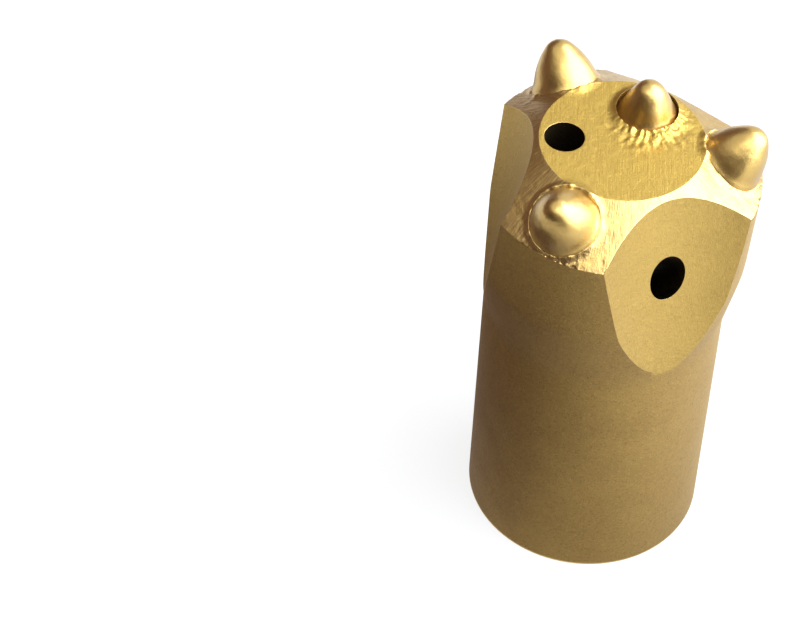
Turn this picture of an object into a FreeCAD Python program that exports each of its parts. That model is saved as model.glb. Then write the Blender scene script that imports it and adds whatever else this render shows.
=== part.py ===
# Tapered button drill bit: a forged and turned steel body that is driven onto the taper of a
# drill rod, with four cemented carbide buttons pressed into drilled sockets in its head.
# Millimetres and degrees. +Z is the drilling direction, and the origin is the centre of the
# open end of the skirt. Gauge button 1 is on +X, and a flute lies half way between two buttons.

import FreeCAD, Part
import os
import Sketcher

SIZES = [
    # turned outline of the body
    ("head_diameter", 32.0, "over the gauge edge, the bit's nominal size"),
    ("body_height", 58.5, "from the open end of the skirt to the flat face"),
    ("flat_diameter", 18.5, "of the flat face"),
    ("gauge_angle", 35.0, "slope of the bevel"),
    ("back_taper", 2.5, "relief of the head's side below the gauge edge"),
    ("shoulder_height", 42.4, "where the back taper ends"),
    ("neck_height", 33.6, "where the neck cone meets the skirt"),
    ("neck_blend", 14.0, "radius that rounds both ends of the neck cone"),
    ("skirt_clearance", 2.1, "room round the skirt for cuttings, inside the gauge edge"),
    # taper socket for the rod
    ("socket_mouth", 22.4, "diameter at the open end"),
    ("socket_taper", 7.0, "included angle"),
    ("socket_depth", 38.0, "from the mouth to the socket's flat end"),
    ("mouth_chamfer", 0.6, "lead-in at the mouth"),
    # flutes, one between each two gauge buttons
    ("gauge_count", 3, "gauge buttons round the head, and flutes between them"),
    ("flute_floor", 9.75, "distance of a flute's floor from the axis, at the flat face's level"),
    ("flute_tilt", 10.0, "slope of a flute's floor to the axis, outwards towards the skirt"),
    ("flute_radius", 20.0, "of the cutter that mills a flute"),
    # gauge buttons
    ("gauge_diameter", 8.0, "of a gauge button and its socket"),
    ("gauge_exposure", 5.2, "from the bevel to the button's tip"),
    ("gauge_embed", 7.5, "depth of the socket"),
    ("gauge_ogive", 10.0, "radius of the button's flank"),
    ("gauge_tip", 2.0, "radius of the button's tip"),
    ("gauge_seat", 12.35, "distance of the seat's centre from the bit's axis"),
    ("gauge_tilt", 32.0, "lean of the button from the bit's axis"),
    # front button
    ("front_diameter", 7.0, "of the front button and its socket"),
    ("front_exposure", 4.2, "from the flat face to the button's tip"),
    ("front_embed", 6.0, "depth of the socket"),
    ("front_ogive", 12.0, "radius of the button's flank"),
    ("front_tip", 2.0, "radius of the button's tip"),
    ("front_seat", 5.5, "distance of the seat's centre from the bit's axis"),
    ("button_chamfer", 0.4, "at a button's foot"),
    # flushing holes, which carry air or water from the socket to the rock
    ("flush_diameter", 4.5, "of both flushing holes"),
    ("face_hole_seat", 6.4, "distance of the face hole from the bit's axis"),
    ("side_hole_height", 47.5, "where the side hole's axis meets the flute's floor"),
    ("side_hole_slope", 50.0, "climb of the side hole above the horizontal"),
    ("drill_overrun", 0.5, "that a drill travels on into the socket"),
]

doc = FreeCAD.newDocument("button_drill_bit")
sheet = doc.addObject("Spreadsheet::Sheet", "Sizes")
for line, (alias, value, meaning) in enumerate(SIZES, start=1):
    sheet.set("A%d" % line, str(value))
    sheet.setAlias("A%d" % line, alias)
    sheet.set("B%d" % line, meaning)
doc.recompute()

# Heights, radii and angles that several features share, as expressions on the sheet.
GAUGE_Z = "(Sizes.body_height - (Sizes.head_diameter - Sizes.flat_diameter) / 2 * tan(Sizes.gauge_angle))"
SEAT_Z = "(Sizes.body_height - (Sizes.gauge_seat - Sizes.flat_diameter / 2) * tan(Sizes.gauge_angle))"
SKIRT_R = "(Sizes.head_diameter / 2 - Sizes.skirt_clearance)"
SHOULDER_R = ("(Sizes.head_diameter / 2"
              " - (%s - Sizes.shoulder_height) * tan(Sizes.back_taper))" % GAUGE_Z)
SOCKET_END_R = "(Sizes.socket_mouth / 2 - Sizes.socket_depth * tan(Sizes.socket_taper / 2))"
FLOOR_AT_HOLE = ("(Sizes.flute_floor"
                 " + (Sizes.body_height - Sizes.side_hole_height) * tan(Sizes.flute_tilt))")
FIRST_FLUTE = "(180 / Sizes.gauge_count)"
SECOND_FLUTE = "(540 / Sizes.gauge_count)"
LAST_FLUTE = "(-180 / Sizes.gauge_count)"


def new_body(label):
    """A PartDesign body whose label names its file."""
    body = doc.addObject("PartDesign::Body", label)
    body.Label = label
    return body


def new_sketch(body, name, role, offset=None):
    """A sketch on one of the body's origin planes, moved by an expression where one is given."""
    sketch = body.newObject("Sketcher::SketchObject", name)
    plane = next(item for item in body.Origin.OriginFeatures if item.Role == role)
    sketch.AttachmentSupport = (plane, [""])
    sketch.MapMode = "FlatFace"
    if offset:
        sketch.setExpression("AttachmentOffset", offset)
    return sketch


def bind(sketch, constraint, name, expression):
    """Adds a driving dimension and ties it to the sheet."""
    index = sketch.addConstraint(constraint)
    sketch.renameConstraint(index, name)
    sketch.setExpression("Constraints." + name, expression)
    return index


def outline(sketch, corners):
    """Draws a closed outline of straight lines. A corner is (name, x, y), and x and y are
    expressions, or None where the corner lies on that axis."""
    places = []
    for name, across, up in corners:
        across_value = sheet.evalExpression(across) if across else 0.0
        up_value = sheet.evalExpression(up) if up else 0.0
        places.append(FreeCAD.Vector(across_value, up_value, 0))
    count = len(corners)
    for index in range(count):
        sketch.addGeometry(Part.LineSegment(places[index], places[(index + 1) % count]), False)
    for index in range(count):
        sketch.addConstraint(Sketcher.Constraint("Coincident", index, 2, (index + 1) % count, 1))
    for index, (name, across, up) in enumerate(corners):
        if across:
            dimension = Sketcher.Constraint("DistanceX", -1, 1, index, 1, places[index].x)
            bind(sketch, dimension, name + "_radius", across)
        else:
            sketch.addConstraint(Sketcher.Constraint("PointOnObject", index, 1, -2))
        if up:
            dimension = Sketcher.Constraint("DistanceY", -1, 1, index, 1, places[index].y)
            bind(sketch, dimension, name + "_height", up)
        else:
            sketch.addConstraint(Sketcher.Constraint("PointOnObject", index, 1, -1))


def circle(sketch, radius, across=None):
    """Draws a circle of the given radius, its centre on the sketch's X axis."""
    centre = FreeCAD.Vector(sheet.evalExpression(across) if across else 0.0, 0, 0)
    normal = FreeCAD.Vector(0, 0, 1)
    value = sheet.evalExpression(radius)
    sketch.addGeometry(Part.Circle(centre, normal, value), False)
    bind(sketch, Sketcher.Constraint("Radius", 0, value), "cut_radius", radius)
    if across:
        sketch.addConstraint(Sketcher.Constraint("PointOnObject", 0, 3, -1))
        bind(sketch, Sketcher.Constraint("DistanceX", -1, 1, 0, 3, centre.x), "cut_centre", across)
    else:
        sketch.addConstraint(Sketcher.Constraint("Coincident", 0, 3, -1, 1))


def turn(body, kind, name, sketch):
    """Revolves a sketch about its vertical axis, as a solid or as a cut."""
    feature = body.newObject("PartDesign::" + kind, name)
    feature.Profile = sketch
    feature.ReferenceAxis = (sketch, ["V_Axis"])
    feature.Angle = 360
    doc.recompute()
    return feature


def drill(body, name, sketch, depth):
    """Cuts a sketch into the body, by a depth given as an expression or right through."""
    before = body.Shape.Volume
    pocket = body.newObject("PartDesign::Pocket", name)
    pocket.Profile = sketch
    if depth:
        pocket.Type = "Length"
        pocket.setExpression("Length", depth)
    else:
        pocket.Type = "ThroughAll"
    doc.recompute()
    if not body.Shape.Volume < before:
        raise RuntimeError(name + " cut nothing")
    return pocket


def make_bit_body():
    """The steel body: turned outside, taper socket, milled flutes and drilled holes."""
    body = new_body("bit_body")

    blank = new_sketch(body, "BlankOutline", "XZ_Plane")
    outline(blank, [
        ("axis_foot", None, None),
        ("foot", SKIRT_R, None),
        ("skirt", SKIRT_R, "Sizes.neck_height"),
        ("shoulder", SHOULDER_R, "Sizes.shoulder_height"),
        ("gauge", "Sizes.head_diameter / 2", GAUGE_Z),
        ("flat", "Sizes.flat_diameter / 2", "Sizes.body_height"),
        ("axis_top", None, "Sizes.body_height"),
    ])
    turn(body, "Revolution", "TurnedBlank", blank)

    # The neck cone runs into the skirt and into the shoulder with a soft radius.
    blend = body.newObject("PartDesign::Fillet", "NeckBlend")
    rings = []
    for height in (sheet.neck_height, sheet.shoulder_height):
        for index, edge in enumerate(body.Shape.Edges, start=1):
            box = edge.BoundBox
            if abs(box.ZMin - height) < 1e-6 and abs(box.ZMax - height) < 1e-6:
                rings.append("Edge%d" % index)
    blend.Base = (doc.getObject("TurnedBlank"), rings)
    blend.setExpression("Radius", "Sizes.neck_blend")
    doc.recompute()

    socket = new_sketch(body, "SocketOutline", "XZ_Plane")
    outline(socket, [
        ("axis_mouth", None, None),
        ("mouth", "Sizes.socket_mouth / 2 + Sizes.mouth_chamfer", None),
        ("lead", "Sizes.socket_mouth / 2 - Sizes.mouth_chamfer * tan(Sizes.socket_taper / 2)",
         "Sizes.mouth_chamfer"),
        ("end", SOCKET_END_R, "Sizes.socket_depth"),
        ("axis_end", None, "Sizes.socket_depth"),
    ])
    turn(body, "Groove", "TaperSocket", socket)

    # A flute is part of a round trough. Its floor leans outwards on the way down, so that it
    # is deep at the bevel and runs out on the skirt.
    flute = new_sketch(body, "FluteSection", "XY_Plane",
                       "placement(rotationz(%s) * vector(Sizes.flute_floor; 0; Sizes.body_height);"
                       " rotationz(%s) * rotationy(-Sizes.flute_tilt))" % (FIRST_FLUTE, FIRST_FLUTE))
    circle(flute, "Sizes.flute_radius", "Sizes.flute_radius")
    flute_cut = drill(body, "Flute", flute, None)

    # A gauge socket is drilled from the level of the button's tip, square to that button.
    seat = new_sketch(body, "GaugeSeat", "XY_Plane",
                      "placement(vector("
                      "Sizes.gauge_seat + Sizes.gauge_exposure * sin(Sizes.gauge_tilt); 0;"
                      " %s + Sizes.gauge_exposure * cos(Sizes.gauge_tilt));"
                      " rotationy(Sizes.gauge_tilt))" % SEAT_Z)
    circle(seat, "Sizes.gauge_diameter / 2")
    seat_cut = drill(body, "GaugeSocket", seat, "Sizes.gauge_exposure + Sizes.gauge_embed")

    stations = body.newObject("PartDesign::PolarPattern", "Stations")
    stations.Originals = [flute_cut, seat_cut]
    z_axis = next(item for item in body.Origin.OriginFeatures if item.Role == "Z_Axis")
    stations.Axis = (z_axis, [""])
    stations.Angle = 360
    stations.setExpression("Occurrences", "Sizes.gauge_count")
    body.Tip = stations
    doc.recompute()

    front = new_sketch(body, "FrontSeat", "XY_Plane",
                       "placement(rotationz(%s) * vector(Sizes.front_seat; 0; Sizes.body_height);"
                       " rotationz(%s))" % (FIRST_FLUTE, FIRST_FLUTE))
    circle(front, "Sizes.front_diameter / 2")
    drill(body, "FrontSocket", front, "Sizes.front_embed")

    face_hole = new_sketch(body, "FaceHole", "XY_Plane",
                           "placement(rotationz(%s)"
                           " * vector(Sizes.face_hole_seat; 0; Sizes.body_height);"
                           " rotationz(%s))" % (SECOND_FLUTE, SECOND_FLUTE))
    circle(face_hole, "Sizes.flush_diameter / 2")
    drill(body, "FaceFlushing", face_hole,
          "Sizes.body_height - Sizes.socket_depth + Sizes.drill_overrun")

    # The side hole is drilled from outside the flute, down to the end of the socket. Its
    # sketch stands off the flute's floor by one hole diameter, along the hole's own axis.
    side_hole = new_sketch(body, "SideHole", "XY_Plane",
                           "placement(rotationz(%s) * vector("
                           "%s + Sizes.flush_diameter * cos(Sizes.side_hole_slope); 0;"
                           " Sizes.side_hole_height"
                           " + Sizes.flush_diameter * sin(Sizes.side_hole_slope));"
                           " rotationz(%s) * rotationy(90 - Sizes.side_hole_slope))"
                           % (LAST_FLUTE, FLOOR_AT_HOLE, LAST_FLUTE))
    circle(side_hole, "Sizes.flush_diameter / 2")
    drill(body, "SideFlushing", side_hole,
          "Sizes.flush_diameter + Sizes.drill_overrun"
          " + (Sizes.side_hole_height - Sizes.socket_depth) / sin(Sizes.side_hole_slope)")
    return body


def make_button(label, size, placement):
    """A ballistic carbide button, turned about its own axis with its seat plane at zero. The
    shank is chamfered at its foot. Above the seat an ogive runs into a round tip. size is the
    word that the button's sizes start with on the sheet."""
    radius = sheet.getPropertyByName(size + "_diameter") / 2
    exposure = sheet.getPropertyByName(size + "_exposure")
    embed = sheet.getPropertyByName(size + "_embed")
    ogive = sheet.getPropertyByName(size + "_ogive")
    tip = sheet.getPropertyByName(size + "_tip")
    chamfer = sheet.button_chamfer

    # The ogive's centre lies a full ogive radius from the shank's top corner, and that less
    # the tip's radius from the tip's centre.
    vector = FreeCAD.Vector
    corner = vector(radius, 0, 0)
    tip_centre = vector(0, exposure - tip, 0)
    chord = tip_centre - corner
    along = (ogive ** 2 + chord.Length ** 2 - (ogive - tip) ** 2) / (2 * chord.Length)
    across = (ogive ** 2 - along ** 2) ** 0.5
    direction = vector(chord).normalize()
    ogive_centre = corner + direction * along + vector(-direction.y, direction.x, 0) * across

    body = new_body(label)
    sketch = new_sketch(body, label + "_outline", "XZ_Plane")
    foot = [vector(0, -embed, 0), vector(radius - chamfer, -embed, 0),
            vector(radius, chamfer - embed, 0), corner]
    for start, end in zip(foot, foot[1:]):
        sketch.addGeometry(Part.LineSegment(start, end), False)
    upright = vector(0, 0, 1)
    right = vector(1, 0, 0)
    start_angle = (corner - ogive_centre).getAngle(right)
    lean = (tip_centre - ogive_centre).getAngle(right)
    quarter = vector(0, 1, 0).getAngle(right)
    flank = Part.ArcOfCircle(Part.Circle(ogive_centre, upright, ogive), start_angle, lean)
    sketch.addGeometry(flank, False)
    sketch.addGeometry(Part.ArcOfCircle(Part.Circle(tip_centre, upright, tip), lean, quarter), False)
    sketch.addGeometry(Part.LineSegment(vector(0, exposure, 0), foot[0]), False)

    foot_line, foot_chamfer, shank, ogive_arc, tip_arc, axis_line = range(6)
    constraint = Sketcher.Constraint
    sketch.addConstraint([
        constraint("Coincident", foot_line, 2, foot_chamfer, 1),
        constraint("Coincident", foot_chamfer, 2, shank, 1),
        constraint("Coincident", shank, 2, ogive_arc, 1),
        constraint("Tangent", ogive_arc, 2, tip_arc, 1),
        constraint("Coincident", tip_arc, 2, axis_line, 1),
        constraint("Coincident", axis_line, 2, foot_line, 1),
        constraint("Horizontal", foot_line),
        constraint("Vertical", shank),
        constraint("PointOnObject", axis_line, 1, -2),
        constraint("PointOnObject", axis_line, 2, -2),
        constraint("PointOnObject", tip_arc, 3, -2),
        constraint("PointOnObject", shank, 2, -1),
    ])
    dimensions = [
        ("DistanceX", (-1, 1, shank, 2, radius), "shank_radius", "Sizes.%s_diameter / 2"),
        ("DistanceY", (foot_line, 1, -1, 1, embed), "embed", "Sizes.%s_embed"),
        ("DistanceY", (-1, 1, axis_line, 1, exposure), "exposure", "Sizes.%s_exposure"),
        ("Radius", (ogive_arc, ogive), "ogive_radius", "Sizes.%s_ogive"),
        ("Radius", (tip_arc, tip), "tip_radius", "Sizes.%s_tip"),
    ]
    for kind, values, name, expression in dimensions:
        bind(sketch, constraint(kind, *values), name, expression % size)
    for kind, name in (("DistanceX", "chamfer_width"), ("DistanceY", "chamfer_height")):
        bind(sketch, constraint(kind, foot_line, 2, foot_chamfer, 2, chamfer), name,
             "Sizes.button_chamfer")
    turn(body, "Revolution", label + "_turned", sketch)
    body.setExpression("Placement", placement)
    doc.recompute()
    return body


parts = [make_bit_body()]
for number in range(int(sheet.gauge_count)):
    turned = "rotationz(360 / Sizes.gauge_count * %d)" % number
    parts.append(make_button(
        "gauge_button_%d" % (number + 1), "gauge",
        "placement(%s * vector(Sizes.gauge_seat; 0; %s); %s * rotationy(Sizes.gauge_tilt))"
        % (turned, SEAT_Z, turned)))
parts.append(make_button(
    "front_button", "front",
    "placement(rotationz(%s) * vector(Sizes.front_seat; 0; Sizes.body_height); rotationz(%s))"
    % (FIRST_FLUTE, FIRST_FLUTE)))
doc.recompute()

for item in doc.Objects:
    if "Invalid" in item.State or "Error" in item.State:
        raise RuntimeError("%s failed: %s" % (item.Label, item.State))
for part in parts:
    if part.Shape.isNull() or not part.Shape.isValid() or len(part.Shape.Solids) != 1:
        raise RuntimeError(part.Label + " isn't one valid solid")

os.makedirs("parts", exist_ok=True)
for part in parts:
    part.Shape.exportStep("parts/%s.step" % part.Label)
    print("%-16s %9.2f mm3" % (part.Label, part.Shape.Volume), part.Shape.BoundBox)
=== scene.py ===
import math

import bmesh
import bpy
from mathutils import Matrix, Vector, noise


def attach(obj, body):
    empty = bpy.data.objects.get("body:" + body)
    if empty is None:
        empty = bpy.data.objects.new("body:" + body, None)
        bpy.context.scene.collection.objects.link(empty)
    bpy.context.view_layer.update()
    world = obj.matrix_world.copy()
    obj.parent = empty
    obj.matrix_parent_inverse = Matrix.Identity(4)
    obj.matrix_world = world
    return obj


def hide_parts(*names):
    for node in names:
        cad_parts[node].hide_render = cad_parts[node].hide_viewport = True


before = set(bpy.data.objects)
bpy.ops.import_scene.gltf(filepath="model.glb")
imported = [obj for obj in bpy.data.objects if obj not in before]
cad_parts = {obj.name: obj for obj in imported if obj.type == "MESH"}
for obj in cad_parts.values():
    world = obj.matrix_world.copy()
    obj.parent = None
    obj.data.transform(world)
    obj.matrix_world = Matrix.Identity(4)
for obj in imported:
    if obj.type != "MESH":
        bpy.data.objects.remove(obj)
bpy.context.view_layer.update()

# ---- The studio ----
# A plain pale floor in a white room, with a large soft lamp at the right and a smaller one high in
# front. Dark cards stand behind, at the left and in front, and a shaded one lies on the floor: they
# show only in the metal.
mm = 0.001
middle = Vector((0, 0, 33 * mm))


def toward(azimuth, elevation):
    """A direction: azimuth 0 is +X and 90 is +Y, elevation is above the floor, in degrees."""
    turn = math.radians(azimuth)
    rise = math.radians(elevation)
    return Vector((math.cos(rise) * math.cos(turn), math.cos(rise) * math.sin(turn), math.sin(rise)))


def lamp(name, azimuth, elevation, distance, wide, high, glow, colour=(1, 1, 1)):
    """A soft box that faces the bit. Its face has that glow, where 1 is white."""
    away = toward(azimuth, elevation)
    bpy.ops.object.light_add(type="AREA", location=middle + away * distance,
                             rotation=away.to_track_quat("Z", "Y").to_euler())
    light = bpy.context.object
    light.name = name
    light.data.shape = "RECTANGLE"
    light.data.size = wide
    light.data.size_y = high
    light.data.energy = glow * math.pi * wide * high
    light.data.color = colour


def add(tree, kind, sockets=None, **settings):
    """A shader node with those settings, its sockets linked or set."""
    made = tree.nodes.new("ShaderNode" + kind)
    for setting, value in settings.items():
        setattr(made, setting, value)
    for socket, value in (sockets or {}).items():
        if isinstance(value, bpy.types.NodeSocket):
            tree.links.new(value, made.inputs[socket])
        else:
            made.inputs[socket].default_value = value
    return made


def math_node(tree, operation, first, second=0.0, third=0.0):
    return add(tree, "Math", {0: first, 1: second, 2: third}, operation=operation).outputs[0]


def ramp(tree, value, low, high, top=1.0):
    """0 where the value is at low, and rises to top where it is at high."""
    sockets = {"Value": value, "From Min": low, "From Max": high, "To Min": 0.0, "To Max": top}
    return add(tree, "MapRange", sockets).outputs[0]


def mixed(tree, share, first, second):
    """One colour mixed into another by that share."""
    return add(tree, "Mix", {0: share, 6: first, 7: second}, data_type="RGBA").outputs[2]


def seen_directly(tree):
    """1 for camera, glossy and transmission rays, which see the background, and 0 for the rest."""
    path = add(tree, "LightPath").outputs
    total = path["Is Camera Ray"]
    for ray in ("Is Glossy Ray", "Is Transmission Ray"):
        total = math_node(tree, "MAXIMUM", total, path[ray])
    return total


world = bpy.data.worlds.new("white room")
bpy.context.scene.world = world
world.use_nodes = True
tree = world.node_tree
strength = add(tree, "MapRange", {"Value": seen_directly(tree), "To Min": 0.7, "To Max": 1.0}).outputs[0]
background = tree.nodes["Background"]
background.inputs["Color"].default_value = (1, 1, 1, 1)
tree.links.new(strength, background.inputs["Strength"])

bpy.ops.mesh.primitive_plane_add(size=6)
floor = bpy.context.object
floor.name = "floor"
paint = bpy.data.materials.new("pale floor")
paint.use_nodes = True
tree = paint.node_tree
matt = tree.nodes["Principled BSDF"]
matt.inputs["Base Color"].default_value = (0.85, 0.85, 0.85, 1)
matt.inputs["Roughness"].default_value = 0.9
matt.inputs["Specular IOR Level"].default_value = 0
whitened = math_node(tree, "MULTIPLY", seen_directly(tree), 0.8)
both = add(tree, "MixShader", {0: whitened, 1: matt.outputs[0], 2: add(tree, "Emission").outputs[0]})
tree.links.new(both.outputs[0], tree.nodes["Material Output"].inputs["Surface"])
floor.data.materials.append(paint)

lamp("key lamp", azimuth=-6, elevation=38, distance=0.50, wide=0.84, high=0.80, glow=5.5,
     colour=(0.93, 1.0, 1.12))
lamp("top lamp", azimuth=-100, elevation=68, distance=0.55, wide=0.26, high=0.20, glow=2.6)


def make_card(name):
    """Turns the new primitive into a card that only the metal sees: its tree and its colour socket."""
    card = bpy.context.object
    card.name = name
    card.visible_camera = False
    card.visible_diffuse = False
    card.visible_shadow = False
    paint = bpy.data.materials.new(name)
    paint.use_nodes = True
    tree = paint.node_tree
    tree.nodes.remove(tree.nodes["Principled BSDF"])
    glow = add(tree, "Emission")
    tree.links.new(glow.outputs[0], tree.nodes["Material Output"].inputs["Surface"])
    card.data.materials.append(paint)
    return tree, glow.inputs["Color"]


for azimuth, distance, wide, high, shade in (
    (122, 0.34, 0.38, 0.42, 0.20),
    (180, 0.25, 0.30, 0.30, 0.20),
    (228, 0.17, 0.20, 0.24, 0.09),
    (272, 0.17, 0.17, 0.17, 0.10),
):
    away = toward(azimuth, 0)
    bpy.ops.mesh.primitive_plane_add(size=1, location=away * distance + Vector((0, 0, high / 2)),
                                     rotation=away.to_track_quat("Z", "Y").to_euler())
    bpy.context.object.scale = (wide, high, 1)
    tree, colour = make_card(f"dark card {azimuth}")
    colour.default_value = (shade, 0.6 * shade, 0.6 * shade, 1)

# The low card lies round the bit, dark and reddish at the left and white at the right.
bpy.ops.mesh.primitive_circle_add(vertices=64, radius=90 * mm, fill_type="NGON", location=(0, 0, 0.2 * mm))
tree, colour = make_card("low card")
across = add(tree, "SeparateXYZ", {0: add(tree, "TexCoord").outputs["Object"]}).outputs["X"]
fade = ramp(tree, across, -38 * mm, 60 * mm)
tree.links.new(mixed(tree, fade, (0.09, 0.05, 0.05, 1), (1.05, 1.05, 1.15, 1)), colour)

# The camera stands in front of the bit, above it, and looks down on it by 48 degrees.
view = bpy.data.cameras.new("camera")
view.lens = 150.07
view.clip_start = 10 * mm
camera = bpy.data.objects.new("camera", view)
bpy.context.collection.objects.link(camera)
camera.location = (-23.1675 * mm, -260.8306 * mm, 321.0801 * mm)
camera.rotation_euler = [math.radians(angle) for angle in (41.60, -2.106, 2.347)]
bpy.context.scene.camera = camera
bpy.context.scene.view_settings.view_transform = "Standard"

# ---- The steel body ----
# One piece of alloy steel: forged, turned, bored for the rod, milled with three flutes and drilled.
# It was shot blasted with its buttons in and then coated in gold lacquer, so its edges are broken, its
# coat is grainy, and steel and coat stand up in a rough lip round the buttons.
face_height = 58.5 * mm
flat_radius = 9.25 * mm
gauge_radius = 16.0 * mm
bevel_slope = math.radians(35)
head_bottom = 53.6 * mm  # just below the gauge edge
socket_mouth = 11.2 * mm
socket_depth = 38.0 * mm
flute_floor = 9.75 * mm  # from the axis, at the end face's level
flute_tilt = math.radians(10)
flush_radius = 2.25 * mm
face_hole_seat = 6.4 * mm
side_hole_height = 47.5 * mm
side_hole_slope = math.radians(50)
broken_edge = 0.14 * mm

gauge_button_radius = 4.0 * mm
gauge_reach = 12.35 * mm
gauge_seat = Vector((gauge_reach, 0, face_height - (gauge_reach - flat_radius) * math.tan(bevel_slope)))
gauge_tilt = math.radians(32)
front_button_radius = 3.5 * mm
front_seat = 5.5 * mm * toward(60, 0) + Vector((0, 0, face_height))
upright = Vector((0, 0, 1))

# the numbers of the body's finishes
finishes = range(7)
side, end_face, bevel, flute, hole, worn_and_highlit_edge, chipped_edge = finishes


def turned(degrees):
    """A turn about the bit's axis."""
    return Matrix.Rotation(math.radians(degrees), 3, "Z")


def choose(piece):
    """Makes that piece the only one selected, and the active one."""
    bpy.ops.object.select_all(action="DESELECT")
    piece.select_set(True)
    bpy.context.view_layer.objects.active = piece


def apply_modifier(piece, name, kind, **settings):
    """Adds a modifier with those settings and applies it."""
    choose(piece)
    modifier = piece.modifiers.new(name, kind)
    for setting, value in settings.items():
        setattr(modifier, setting, value)
    bpy.ops.object.modifier_apply(modifier=modifier.name)


def choose_faces(piece, wanted):
    """In edit mode, selects just the visible faces whose middle and normal pass the test."""
    shape = bmesh.from_edit_mesh(piece.data)
    for face in shape.faces:
        if not face.hide:
            face.select = wanted(face.calc_center_median(), face.normal)
    bmesh.update_edit_mesh(piece.data)


def raise_coat(piece, group, name, size, height, level=0.5, depth=1):
    """Lifts and sinks the surface in lumps of that size, as far as the group's weight lets it."""
    lumps = bpy.data.textures.new(name, "CLOUDS")
    lumps.noise_scale = size
    lumps.noise_depth = depth
    apply_modifier(piece, name, "DISPLACE", texture=lumps, texture_coords="LOCAL", strength=height,
                   mid_level=level, vertex_group=group)


def clamped(value):
    """The value, kept between 0 and 1."""
    return min(1, max(0, value))


body = bpy.data.objects.new("steel_body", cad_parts["bit_body"].data.copy())
bpy.context.scene.collection.objects.link(body)
choose(body)
bpy.ops.object.mode_set(mode="EDIT")
bpy.ops.mesh.select_mode(type="FACE")
bpy.ops.mesh.select_all(action="SELECT")
bpy.ops.mesh.customdata_custom_splitnormals_clear()
bpy.ops.mesh.remove_doubles(threshold=0.002 * mm)
bpy.ops.mesh.dissolve_limited(angle_limit=math.radians(0.4))
bpy.ops.object.mode_set(mode="OBJECT")
body.data.materials.clear()
for finish in finishes:
    body.data.materials.append(None)

side_hole_turn = turned(300)
side_hole_reach = flute_floor + (face_height - side_hole_height) * math.tan(flute_tilt)
side_hole_start = side_hole_turn @ Vector((side_hole_reach, 0, side_hole_height))
side_hole_axis = side_hole_turn @ toward(0, math.degrees(side_hole_slope))
face_hole_start = Vector((-face_hole_seat, 0, 0))


def on_bore(point, start, axis):
    """True for a point on the wall of a flushing hole."""
    away = point - start
    return abs((away - axis * away.dot(axis)).length - flush_radius) < 0.12 * mm


def finish_of(middle, normal):
    """The finish of a face of the bare body."""
    if middle.z < socket_depth + 0.2 * mm and middle.to_2d().length < socket_mouth + 0.3 * mm:
        return hole
    if middle.z > socket_depth - 2 * mm and on_bore(middle, face_hole_start, upright):
        return hole
    if middle.z < face_height - 2.5 * mm and on_bore(middle, side_hole_start, side_hole_axis):
        return hole
    if middle.z > face_height - 0.05 * mm and normal.z > 0.99:
        return end_face
    if middle.z > head_bottom and abs(normal.z - math.cos(bevel_slope)) < 0.02:
        return bevel
    if middle.z > 25 * mm and 0.04 < normal.z < 0.5:
        return flute
    return side


for face in body.data.polygons:
    face.material_index = finish_of(face.center, face.normal)
# the rounded edges take a lighter, glossier coat: partly wear, partly a painted highlight along the edges
apply_modifier(body, "broken edges", "BEVEL", width=broken_edge, segments=3, limit_method="ANGLE",
               angle_limit=math.radians(24), miter_outer="MITER_ARC", material=worn_and_highlit_edge)
for face in body.data.polygons:
    outermost = face.center.to_2d().length > gauge_radius - 0.4 * mm
    if face.material_index == worn_and_highlit_edge and outermost and face.center.z < head_bottom + 0.6 * mm:
        face.material_index = chipped_edge

# The end face and the bevel are cut into a fine grid, finer still round the buttons. The grid is
# shifted a little, so that no cut meets the corners on the middle planes.
grid = 0.3 * mm
grid_shift = 0.13
steps = int(gauge_radius / grid)
bpy.ops.object.mode_set(mode="EDIT")
choose_faces(body, lambda middle, normal: middle.z > head_bottom and normal.z > 0.3)
bpy.ops.mesh.hide(unselected=True)
for step in range(-steps, steps + 1):
    for across in ((1, 0, 0), (0, 1, 0)):
        bpy.ops.mesh.select_all(action="SELECT")
        place = (step + grid_shift) * grid
        bpy.ops.mesh.bisect(plane_co=(place, place, 0), plane_no=across, threshold=1e-7)

gauge_sockets = []
for turn in (0, 120, 240):
    axis = turned(turn) @ Vector((math.sin(gauge_tilt), 0, math.cos(gauge_tilt)))
    gauge_sockets.append((turned(turn) @ gauge_seat, axis, gauge_button_radius))
sockets = gauge_sockets + [(front_seat, upright, front_button_radius)]


def off_axis(point, seat, axis):
    """How far a point is from a button's axis, and how high above its seat."""
    away = point - seat
    up = away.dot(axis)
    return (away - axis * up).length, up


def near_button(middle, normal):
    return any(radius - 0.5 * mm < off_axis(middle, seat, axis)[0] < radius + 0.95 * mm
               for seat, axis, radius in sockets)


def before_front_button(middle, normal):
    away = middle - front_seat
    return normal.z > 0.9 and 3.0 * mm < away.to_2d().length < 6.2 * mm and away.y < 1.5 * mm


for chosen in (near_button, before_front_button):
    choose_faces(body, chosen)
    bpy.ops.mesh.subdivide(number_cuts=1)
bpy.ops.mesh.reveal()
bpy.ops.mesh.select_all(action="SELECT")
bpy.ops.mesh.dissolve_degenerate(threshold=0.001 * mm)
bpy.ops.object.mode_set(mode="OBJECT")

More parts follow.
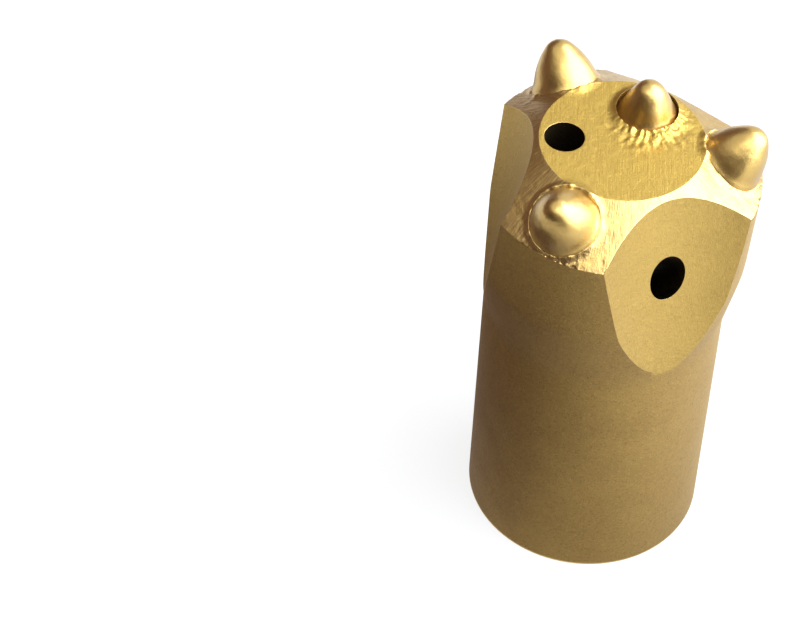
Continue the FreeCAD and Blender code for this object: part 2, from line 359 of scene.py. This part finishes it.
# The lip is highest at the button, and runs out on the bevel and down the socket's wall.
lip_width = 0.8 * mm
lip_slope = 0.75 * mm
fade = 0.5 * mm
groups = {name: body.vertex_groups.new(name=name) for name in ("head", "collars")}
for vertex in body.data.vertices:
    point = vertex.co
    above = point.z - head_bottom + 0.3 * mm
    if above < 0:
        continue
    groups["head"].add([vertex.index], min(1, above / fade), "REPLACE")
    # nothing rises at the outermost edge, so that the gauge keeps its size
    inside = clamped((gauge_radius - point.to_2d().length) / fade)
    for seat, axis, radius in gauge_sockets:
        away, up = off_axis(point, seat, axis)
        if away < radius + 1.0 * mm and up > -1.2 * mm:
            lip = clamped((radius + lip_width - away) / lip_slope) ** 1.6
            if up < -0.35 * mm and away < radius + 0.1 * mm:
                lip *= max(0, 1 + (up + 0.35 * mm) / fade)
            groups["collars"].add([vertex.index], lip * inside, "REPLACE")
raise_coat(body, "collars", "collar", 1.9 * mm, 0.50 * mm, level=0.0)
raise_coat(body, "collars", "collar lumps", 0.7 * mm, 0.16 * mm)
raise_coat(body, "head", "uneven head", 0.8 * mm, 0.05 * mm)

# A low mound round the front button's foot, and the coat that has run and wrinkled in front of it.
# Lengths in this loop and the next are in millimetres.
run_direction = math.radians(-80)
mound_height = 0.42
fold_height = 0.34
fold_width = 0.42
fold_length = 1.1
ruck_height = 0.14
ruck_size = 0.38
wrinkled_radius = 4.5
for vertex in body.data.vertices:
    away = (vertex.co - front_seat) / mm
    reach = away.to_2d().length
    if abs(away.z) > 0.25 or not 3.2 < reach < 8.5:
        continue
    past_button = reach - front_button_radius / mm
    angle = math.atan2(away.y, away.x)
    ahead = max(0, math.cos(angle - run_direction))
    slope = clamped(1 - past_button / (0.9 + 1.5 * ahead))
    spread = max(0, 1 - past_button / (1.2 + 2.8 * ahead)) * (0.1 + 0.9 * ahead)
    fold = noise.noise(Vector((angle * wrinkled_radius / fold_width, reach / fold_length, 0.3)))
    ruck = noise.noise(Vector((away.x / ruck_size, away.y / ruck_size, 4.1)))
    wrinkles = spread ** 1.2 * (fold_height * fold + ruck_height * ruck)
    vertex.co.z += (mound_height * slope ** 2 + wrinkles) * mm

# The gauge edge is chipped, and rough where each bevel runs out beside its button.
chip_size = 0.55
chip_depth = 0.5
rough_size = 0.5
rough_height = 0.32
patch_size = 3
for vertex in body.data.vertices:
    point = vertex.co / mm
    reach = point.to_2d().length
    if point.z < 53.3 or reach < 13.5:
        continue
    near_edge = max(0, 1 - abs(reach - 15.95) / 0.45) * max(0, 1 - abs(point.z - 53.8) / 0.6)
    chip = chip_depth * near_edge * max(0, noise.noise(point / chip_size) - 0.12)
    patch = max(0, noise.noise(Vector((point.x / patch_size, point.y / patch_size, 7)))) * 1.4
    rough = max(0, 1 - abs(reach - 15.0) / 1.1) * patch
    inward = Vector((point.x, point.y, 0)).normalized()
    point -= inward * chip + Vector((0, 0, chip))
    point.z += rough_height * rough * noise.noise(point / rough_size)
    vertex.co = point * mm


# The finish: gold lacquer over blasted steel. Each effect is built once, and placed in each coat.
def new_effect(name, takes, gives):
    """A node group: its tree, the sockets that it takes and the sockets that it gives."""
    tree = bpy.data.node_groups.new(name, "ShaderNodeTree")
    for label, kind in takes:
        tree.interface.new_socket(label, in_out="INPUT", socket_type="NodeSocket" + kind)
    for label in gives:
        tree.interface.new_socket(label, in_out="OUTPUT", socket_type="NodeSocketFloat")
    return tree, tree.nodes.new("NodeGroupInput").outputs, tree.nodes.new("NodeGroupOutput").inputs


def effect(tree, group, **takes):
    """An effect placed in a material: the sockets that it gives."""
    return add(tree, "Group", takes, node_tree=group).outputs


def enlarged(tree, place, scale):
    """The place, scaled about the bit's origin."""
    return add(tree, "VectorMath", {0: place, "Scale": scale}, operation="SCALE").outputs[0]


# blasted grain: the pits that shot leaves, with a few grains that catch the light
blasted, takes, gives = new_effect("blasted grain", (("Place", "Vector"), ("Grain", "Float")),
                                   ("Height", "Fleck"))
place = enlarged(blasted, takes["Place"], math_node(blasted, "DIVIDE", 1.0, takes["Grain"]))
pits = add(blasted, "TexNoise", {"Vector": place, "Scale": 1.0, "Detail": 3.0, "Roughness": 0.7})
grains = add(blasted, "TexVoronoi", {"Vector": place, "Scale": 0.9, "Randomness": 1.0})
shade = add(blasted, "SeparateColor", {0: grains.outputs["Color"]}).outputs[0]
blasted.links.new(math_node(blasted, "MULTIPLY_ADD", shade, 0.45, pits.outputs[0]), gives["Height"])
blasted.links.new(shade, gives["Fleck"])

# blotches: where the coat is thicker and browner
blotches, takes, gives = new_effect("blotches", (("Place", "Vector"), ("Size", "Float")), ("Blotch",))
place = enlarged(blotches, takes["Place"], math_node(blotches, "DIVIDE", 1.0, takes["Size"]))
cloud = add(blotches, "TexNoise", {"Vector": place, "Scale": 1.0, "Detail": 4.0, "Roughness": 0.6})
blotches.links.new(ramp(blotches, cloud.outputs[0], 0.32, 0.68), gives["Blotch"])

# tool marks: short scratches that run along the local Z of their place
marks, takes, gives = new_effect("tool marks", (("Place", "Vector"), ("Width", "Float"), ("Length", "Float")),
                                 ("Mark",))
split = add(marks, "SeparateXYZ", {0: takes["Place"]}).outputs
parts = {}
for axis, size in (("X", "Width"), ("Y", "Width"), ("Z", "Length")):
    parts[axis] = math_node(marks, "DIVIDE", split[axis], takes[size])
place = add(marks, "CombineXYZ", parts).outputs[0]
lines = add(marks, "TexNoise", {"Vector": place, "Scale": 1.0, "Detail": 2.0, "Roughness": 0.7})
marks.links.new(ramp(marks, lines.outputs[0], 0.38, 0.62), gives["Mark"])


def coat(name, gold, brown, grain, relief, rough, blotch=6.0, blotted=0.35, flecked=0.2, uneven=(0.7, 0.02),
         marked=None, around=False, gloss=0.0):
    """A coat in that gold, browner in blotches. Lengths are in mm: grain is its size and relief its
    depth, and uneven is the size and depth of its dents. marked is the width and length of its tool
    marks, their turn in degrees, their depth, and how much they darken it. around lays them round the
    bit's axis, at the bevel's mean radius."""
    mean_radius = 12.6
    finish = bpy.data.materials.new(name)
    finish.use_nodes = True
    tree = finish.node_tree
    place = enlarged(tree, add(tree, "TexCoord").outputs["Object"], 1 / mm)
    grains = effect(tree, blasted, Place=place, Grain=grain)
    patches = effect(tree, blotches, Place=place, Size=blotch)["Blotch"]
    dents = effect(tree, blotches, Place=place, Size=uneven[0])["Blotch"]
    colour = mixed(tree, math_node(tree, "MULTIPLY", patches, blotted), (*gold, 1), (*brown, 1))
    height = math_node(tree, "MULTIPLY", grains["Height"], relief)
    height = math_node(tree, "MULTIPLY_ADD", dents, uneven[1], height)
    roughness = math_node(tree, "MULTIPLY_ADD", patches, 0.06, rough - 0.05)
    if marked:
        width, length, turn, depth, darkening = marked
        laid = place
        if around:
            split = add(tree, "SeparateXYZ", {0: place}).outputs
            angle = math_node(tree, "ARCTAN2", split[1], split[0])
            along = math_node(tree, "MULTIPLY", angle, mean_radius)
            laid = add(tree, "CombineXYZ", {0: along, 2: split[2]}).outputs[0]
        rotation = [math.radians(angle) for angle in turn]
        laid = add(tree, "Mapping", {"Vector": laid, "Rotation": rotation}).outputs[0]
        mark = effect(tree, marks, Place=laid, Width=width, Length=length)["Mark"]
        if around:
            mark = math_node(tree, "MULTIPLY", mark, patches)
        colour = mixed(tree, math_node(tree, "MULTIPLY", mark, darkening), colour, (*brown, 1))
        height = math_node(tree, "MULTIPLY_ADD", mark, depth, height)
    dark = [0.55 * part for part in brown]
    light = [min(1, 1.35 * part) for part in gold]
    colour = mixed(tree, ramp(tree, grains["Fleck"], 0.2, 0.0, flecked), colour, (*dark, 1))
    colour = mixed(tree, ramp(tree, grains["Fleck"], 0.8, 1.0, flecked), colour, (*light, 1))
    bump = add(tree, "Bump", {"Strength": 1.0, "Distance": mm, "Height": height})
    shader = tree.nodes["Principled BSDF"]
    shader.inputs["Metallic"].default_value = 1
    shader.inputs["Coat Weight"].default_value = gloss
    shader.inputs["Coat Roughness"].default_value = 0.32
    tree.links.new(colour, shader.inputs["Base Color"])
    tree.links.new(roughness, shader.inputs["Roughness"])
    tree.links.new(bump.outputs[0], shader.inputs["Normal"])
    return finish


coats = {
    side: coat("blasted side", (0.57, 0.385, 0.115), (0.40, 0.26, 0.085), 0.16, 0.012, 0.46,
               blotted=0.5, flecked=0.35),
    end_face: coat("faced end", (0.60, 0.405, 0.095), (0.42, 0.28, 0.065), 0.13, 0.008, 0.42,
                   blotch=3.0, flecked=0.25, uneven=(0.42, 0.012),
                   marked=(0.16, 3.5, (90, 0, 40), 0.006, 0.15)),
    bevel: coat("ground bevel", (0.62, 0.42, 0.13), (0.36, 0.23, 0.10), 0.12, 0.005, 0.38,
                blotch=2.2, blotted=0.25, flecked=0.15, marked=(0.30, 1.6, (0, 0, 0), 0.03, 0.7),
                around=True, gloss=0.3),
    flute: coat("milled flute", (0.60, 0.41, 0.115), (0.43, 0.29, 0.08), 0.14, 0.009, 0.42,
                blotch=5.0, flecked=0.25, marked=(0.14, 1.1, (0, 8, 0), 0.008, 0.15)),
    # the holes' near-black colour is painted shade: the dark inside the socket and the flushing holes, not
    # the steel's own colour
    hole: coat("painted shade in holes", (0.05, 0.034, 0.016), (0.02, 0.013, 0.008), 0.12, 0.010, 0.6, flecked=0.3),
    # lighter than the coat beside it: partly coat rubbed thin on the broken edges, partly a painted highlight
    # along them
    worn_and_highlit_edge: coat("worn edge with painted highlight", (0.70, 0.51, 0.19), (0.60, 0.42, 0.15), 0.12, 0.005, 0.34,
                    blotch=1.2, gloss=0.4),
    chipped_edge: coat("chipped edge", (0.55, 0.36, 0.12), (0.22, 0.09, 0.05), 0.12, 0.010, 0.45,
                       blotch=0.6, blotted=0.8),
}
for number, finish in coats.items():
    body.data.materials[number] = finish
for face in body.data.polygons:
    face.use_smooth = True
apply_modifier(body, "even shading", "WEIGHTED_NORMAL", mode="FACE_AREA", weight=50)
body.vertex_groups.clear()
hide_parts("bit_body")
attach(body, "root")

# ---- The three gauge buttons ----
# Cemented carbide, ground to a pointed arch with a rounded tip and a chamfered foot, and pressed into
# blind sockets that lean out from the bevel. The lacquer lies smoother on them than on the steel.
tip_radius = 2 * mm
foot_chamfer = 0.4 * mm
coat_fillet = 0.9 * mm  # how high the coat climbs the button from its seat
carbide_coat = coat("coat on carbide", (0.62, 0.42, 0.12), (0.50, 0.32, 0.09), 0.12, 0.004, 0.36,
                    blotch=2.5, flecked=0.1, uneven=(0.9, 0.015), gloss=0.6)


def ogive(radius, stands, embed, arch, flare):
    """The button's radius and height from its foot to its tip, with the coat's fillet at the seat."""
    rise = math.sqrt((arch - tip_radius) ** 2 - (arch - radius) ** 2)
    start = stands - tip_radius - rise
    meet = math.atan2(rise, arch - radius)
    line = [(radius - foot_chamfer, -embed), (radius, foot_chamfer - embed)]
    for step in range(25):
        angle = meet * step / 24
        line.append((radius - arch + arch * math.cos(angle), start + arch * math.sin(angle)))
    for step in range(1, 10):
        # the last ring stops short of the tip, where one point closes it
        angle = meet + (math.pi / 2 - meet) * step / 9.6
        line.append((tip_radius * math.cos(angle), stands - tip_radius + tip_radius * math.sin(angle)))
    outline = []
    for r, z in line:
        if z > start:
            r += flare * max(0, 1 - max(0, z) / coat_fillet) ** 2
        outline.append((r, z))
    return outline


def turned_button(name, line, seat, tilt, turn):
    """A button of that outline, seated there, leaning out and turned about the bit, in its coat."""
    bpy.ops.object.select_all(action="DESELECT")
    radius, low = line[0]
    bpy.ops.mesh.primitive_circle_add(vertices=120, radius=radius, fill_type="NGON", location=(0, 0, 0))
    button = bpy.context.object
    button.name = name
    button.data.name = name
    bpy.ops.object.mode_set(mode="EDIT")
    bpy.ops.mesh.select_all(action="SELECT")
    bpy.ops.transform.translate(value=(0, 0, low))
    for r, z in line[1:]:
        bpy.ops.mesh.extrude_region_move(TRANSFORM_OT_translate={"value": (0, 0, z - low)})
        bpy.ops.transform.resize(value=(r / radius, r / radius, 1), center_override=(0, 0, z))
        radius, low = r, z
    bpy.ops.mesh.poke()
    bpy.ops.mesh.select_all(action="SELECT")
    bpy.ops.mesh.normals_make_consistent(inside=False)
    bpy.ops.object.mode_set(mode="OBJECT")
    button.location = turned(turn) @ seat
    button.rotation_euler = (0, tilt, math.radians(turn))
    bpy.ops.object.transform_apply(location=True, rotation=True, scale=True)
    bpy.ops.object.shade_smooth_by_angle(angle=math.radians(35))
    group = button.vertex_groups.new(name="coat")
    group.add(range(len(button.data.vertices)), 1, "REPLACE")
    raise_coat(button, "coat", "uneven coat", 1.3 * mm, 0.07 * mm, level=1.0, depth=2)
    button.vertex_groups.clear()
    button.data.materials.append(carbide_coat)
    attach(button, "root")
    return button


gauge_line = ogive(gauge_button_radius, stands=5.2 * mm, embed=7.5 * mm, arch=10 * mm, flare=0.22 * mm)
for number, turn in ((1, 0), (2, 120), (3, 240)):
    button = turned_button(f"gauge_carbide_{number}", gauge_line, gauge_seat, gauge_tilt, turn)
    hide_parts(f"gauge_button_{number}")

# ---- The front button ----
# The same make of carbide button, smaller. It is pressed upright into the end face, off the bit's
# axis, which leaves room for the flushing hole.
front_line = ogive(front_button_radius, stands=4.2 * mm, embed=6 * mm, arch=12 * mm, flare=0.25 * mm)
front_button = turned_button("front_carbide", front_line, front_seat, 0, 0)
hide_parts("front_button")
